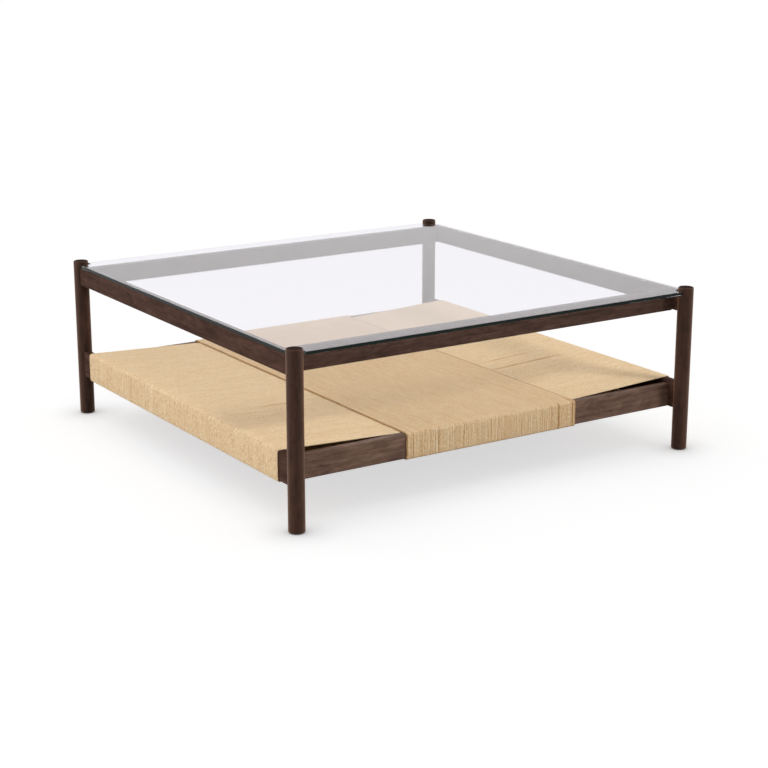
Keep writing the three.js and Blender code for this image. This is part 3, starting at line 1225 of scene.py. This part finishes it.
@dataclass(frozen=True)
class Studio:
    """The plain white studio: floor, sky, soft lamps and the camera."""

    lamps: tuple[Lamp, ...] = (
        Lamp("key_lamp", (0.62, -1.28, 1.0), 18.0, 0.40),
        Lamp("left_lamp", (-1.0, 0.35, 0.25), 50.0, 0.75),
        Lamp("right_lamp", (1.0, -0.45, 0.25), 50.0, 0.30),
        Lamp("top_lamp", (-0.2, 0.2, 1.0), 80.0, 0.22, lights_floor=True),
    )
    sky: float = 0.40
    floor_size: float = 60.0
    camera_place: Triple = (-2.3390, -3.6352, 1.3201)
    azimuth: float = 33.131
    elevation: float = 15.504
    lens: float = 82.174
    sensor: float = 36.0

    def make_sky(self) -> None:
        """Makes the world: white where it is seen and softer where it only gives light."""
        world = bpy.data.worlds.new("studio_sky")
        world.use_nodes = True
        tree = world.node_tree
        tree.nodes.clear()
        white = add(tree, "Background", {"Color": WHITE, "Strength": 1.0})
        soft = add(tree, "Background", {"Color": WHITE, "Strength": self.sky})
        mixed = add(tree, "MixShader", {0: backdrop_share(tree), 1: soft, 2: white})
        add(tree, "OutputWorld", {"Surface": mixed})
        bpy.context.scene.world = world

    def make_floor(self) -> Object:
        """Makes the floor, a square about the origin.

        Returns:
            The floor's object.
        """
        half = self.floor_size / 2
        mesh = bpy.data.meshes.new("studio_floor")
        mesh.from_pydata([(-half, -half, 0), (half, -half, 0), (half, half, 0), (-half, half, 0)],
                         [], [(0, 1, 2, 3)])
        mesh.materials.append(WhiteFloor("studio_floor_matt_white").build())
        floor = bpy.data.objects.new("studio_floor", mesh)
        bpy.context.scene.collection.objects.link(floor)
        return floor

    def add_lamp(self, lamp: Lamp, unlit: list[Object]) -> None:
        """Adds a lamp, and keeps its light off some objects.

        Args:
            lamp: The lamp.
            unlit: The objects that it doesn't light.
        """
        light = bpy.data.lights.new(lamp.name, "SUN")
        light.angle = math.radians(lamp.spread)
        light.energy = lamp.level * math.pi
        holder = bpy.data.objects.new(lamp.name, light)
        holder.rotation_euler = Vector(lamp.direction).to_track_quat("Z", "Y").to_euler()
        kept_off = bpy.data.collections.new("unlit_by_" + lamp.name)
        for piece in unlit:
            kept_off.objects.link(piece)
        for link in kept_off.collection_objects:
            link.light_linking.link_state = "EXCLUDE"
        holder.light_linking.receiver_collection = kept_off
        bpy.context.scene.collection.objects.link(holder)

    def make_camera(self) -> None:
        """Makes the camera at the photograph's angle."""
        data = bpy.data.cameras.new("camera")
        data.lens = self.lens
        data.sensor_width = self.sensor
        camera = bpy.data.objects.new("camera", data)
        camera.location = self.camera_place
        camera.rotation_euler = (math.radians(90 - self.elevation), 0,
                                 -math.radians(self.azimuth))
        bpy.context.scene.collection.objects.link(camera)
        bpy.context.scene.camera = camera

    def make(self, pane: Object) -> None:
        """Builds the studio.

        Args:
            pane: The glass, which mirrors the even sky and no lamp.
        """
        self.make_camera()
        self.make_sky()
        floor = self.make_floor()
        for lamp in self.lamps:
            self.add_lamp(lamp, [pane] if lamp.lights_floor else [pane, floor])
        bpy.context.scene.view_settings.view_transform = "Standard"


@dataclass
class Table:
    """The whole table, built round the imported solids."""

    apron_easing: float = 2 * MM
    fit_gap: float = 0.3 * MM
    band_half: float = 243 * MM
    knot_aside: float = 3 * MM
    knot_height: float = 309 * MM
    knot_size: float = 11 * MM
    ends: tuple[str, str] = ("front", "back")
    hands: tuple[str, str] = ("left", "right")
    finishes: dict[str, Material] = field(default_factory=dict)

    def dress_solids(self) -> None:
        """Gives the hidden dowels their bare beech."""
        pores = Unevenness(1.5 * MM, 0.1 * MM)
        beech = Moulding("beech_bare", "#cda878", roughness=0.6, grain=pores).build()
        for name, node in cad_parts.items():
            if name.startswith("dowel"):
                node.data.materials.clear()
                node.data.materials.append(beech)

    def make_frame(self) -> None:
        """Makes the legs, glides, aprons, lower rails and pads."""
        nylon = Moulding("nylon_moulded", "#2b2a29", roughness=0.55).build()
        moulded = Unevenness(2 * MM, 0.02 * MM, strength=0.2, detail=0.0)
        vinyl = ClearSolid("clear_vinyl_soft", ior=1.1, tint="#f6f8f7", waves=moulded,
                           roughness=0.05).build()
        low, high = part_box("leg_back_right")
        leg_centre, leg_radius = (low.x + high.x) / 2, (high.x - low.x) / 2
        for end in self.ends:
            for hand in self.hands:
                Leg(f"leg_{end}_{hand}", self.finishes["leg"],
                    end_finish=self.finishes["leg_end"]).make()
                Glide(f"floor_glide_{end}_{hand}", nylon).make()
                Pad(f"glass_pad_{end}_{hand}", vinyl).make()
                Pad(f"glass_pad_{hand}_{end}", vinyl).make()
        for kind, easing in (("apron", self.apron_easing), ("lower_rail", Winding.rail_easing)):
            for hand in self.hands:
                Board(f"{kind}_{hand}", Axis.Y, easing, self.finishes["side_board"],
                      cope_radius=leg_radius + self.fit_gap, cope_centre=leg_centre).make()
            for end in self.ends:
                Board(f"{kind}_{end}", Axis.X, easing, self.finishes["cross_" + kind]).make()

    def make_shelf(self) -> None:
        """Winds the side-to-side cords, and the front-to-back band over and under them."""
        cord = PaperCord("twisted_paper_cord_waxed").build()
        radius = Winding.diameter / 2
        step = Winding.stand_off + radius
        rail_low, rail_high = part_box("lower_rail_back")
        Winding(
            "cords_side_to_side", "cord_side_to_side", Axis.X,
            ("lower_rail_left", "lower_rail_right"), cord,
            upper_level=rail_high.z - radius, lower_level=rail_low.z + radius,
            # The side sheet's tone is paler than the band's: painted sheen, for the brighter look
            # of cords that run side to side
            level_reach=self.band_half, seed=11, pieces=2, tone=0.58, tone_spread=0.09,
            # Each joint's shade lowers the tone beside it: painted shade in the gap that it opens
            joints=(
                Joint(-170 * MM, 1.2 * MM, 0.75, 248 * MM, 470 * MM),
                Joint(-101 * MM, 0.5 * MM, 0.55, 280 * MM, 420 * MM),
                Joint(-163 * MM, 0.8 * MM, 0.6, -420 * MM, -330 * MM),
                Joint(244 * MM, 0.6 * MM, 0.25, -640 * MM, -550 * MM),
                Joint(0 * MM, 0.6 * MM, 0.25, -640 * MM, -550 * MM),
            ),
        ).make()
        Winding(
            "cords_front_to_back", "cord_front_to_back", Axis.Y,
            ("lower_rail_front", "lower_rail_back"), cord,
            upper_level=rail_high.z + step, lower_level=rail_low.z - step,
            # The band's tone is deeper than the side sheet's: painted, for the duller look of
            # cords that run front to back
            level_reach=rail_low.y, seed=13, level_steps=20, slope_steps=1, tone=0.48,
            # The edge shade paints the shade of the seam beside each edge of the band
            edge_shade=0.95, stray=0.18 * MM, sway=0.16 * MM,
            # Each joint's shade lowers the tone beside it: painted shade in the gap that it opens
            joints=(
                Joint(192 * MM, 1.0 * MM, 0.8, -590 * MM, -505 * MM),
                Joint(234 * MM, 0.8 * MM, 0.6, -590 * MM, -470 * MM),
            ),
        ).make()

    def make(self) -> Object:
        """Builds the table.

        Returns:
            The glass pane.
        """
        leg_low, leg_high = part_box("leg_front_right")
        leg_centre = (leg_low.x + leg_high.x) / 2
        knot = Knot((leg_centre - self.knot_aside, leg_low.y, self.knot_height),
                    self.knot_size)
        woods = {
            "leg": StainedAsh("stained_ash_satin_leg", Axis.Z, "#1a0f0b", "#422b22",
                              sheen_level=0.1, side_glow=0.9, knots=(knot,)),
            "leg_end": StainedAsh("stained_ash_satin_leg_end", Axis.Z, "#2a1c16", "#4a352c",
                                  sheen_level=0.05),
            "side_board": StainedAsh("stained_ash_satin_side_board", Axis.Y, "#2e1f18",
                                     "#553b31", roughness_low=0.55, roughness_high=0.65,
                                     sheen_level=0.04),
            "cross_apron": StainedAsh("stained_ash_satin_cross_apron", Axis.X,
                                      roughness_low=0.42, roughness_high=0.55,
                                      sheen_level=0.08),
            "cross_lower_rail": StainedAsh("stained_ash_satin_cross_lower_rail", Axis.X,
                                           "#4a352b", "#7a5f50"),
        }
        self.finishes = {part: wood.build() for part, wood in woods.items()}
        self.dress_solids()
        self.make_frame()
        self.make_shelf()
        edge = GlassEdge("float_glass_polished_edge", "#0f211d", roughness=0.12,
                         sheen_level=0.15)
        notch = GlassEdge("float_glass_ground_notch", "#b4c6c0", roughness=0.5, sheen_level=0.4)
        drawn = Unevenness(120 * MM, 0.02 * MM, strength=0.2, detail=0.0)
        face = ClearSolid("float_glass_clear", ior=GLASS_IOR, tint="#faf8ff", waves=drawn)
        return GlassTop("glass_top", face.build(), edge.build(), notch.build(),
                        leg_centre).make()


def main() -> None:
    """Builds the table and the studio round it."""
    logging.basicConfig(level=logging.INFO, format="%(message)s")
    Studio().make(Table().make())


if __name__ == "__main__":
    main()
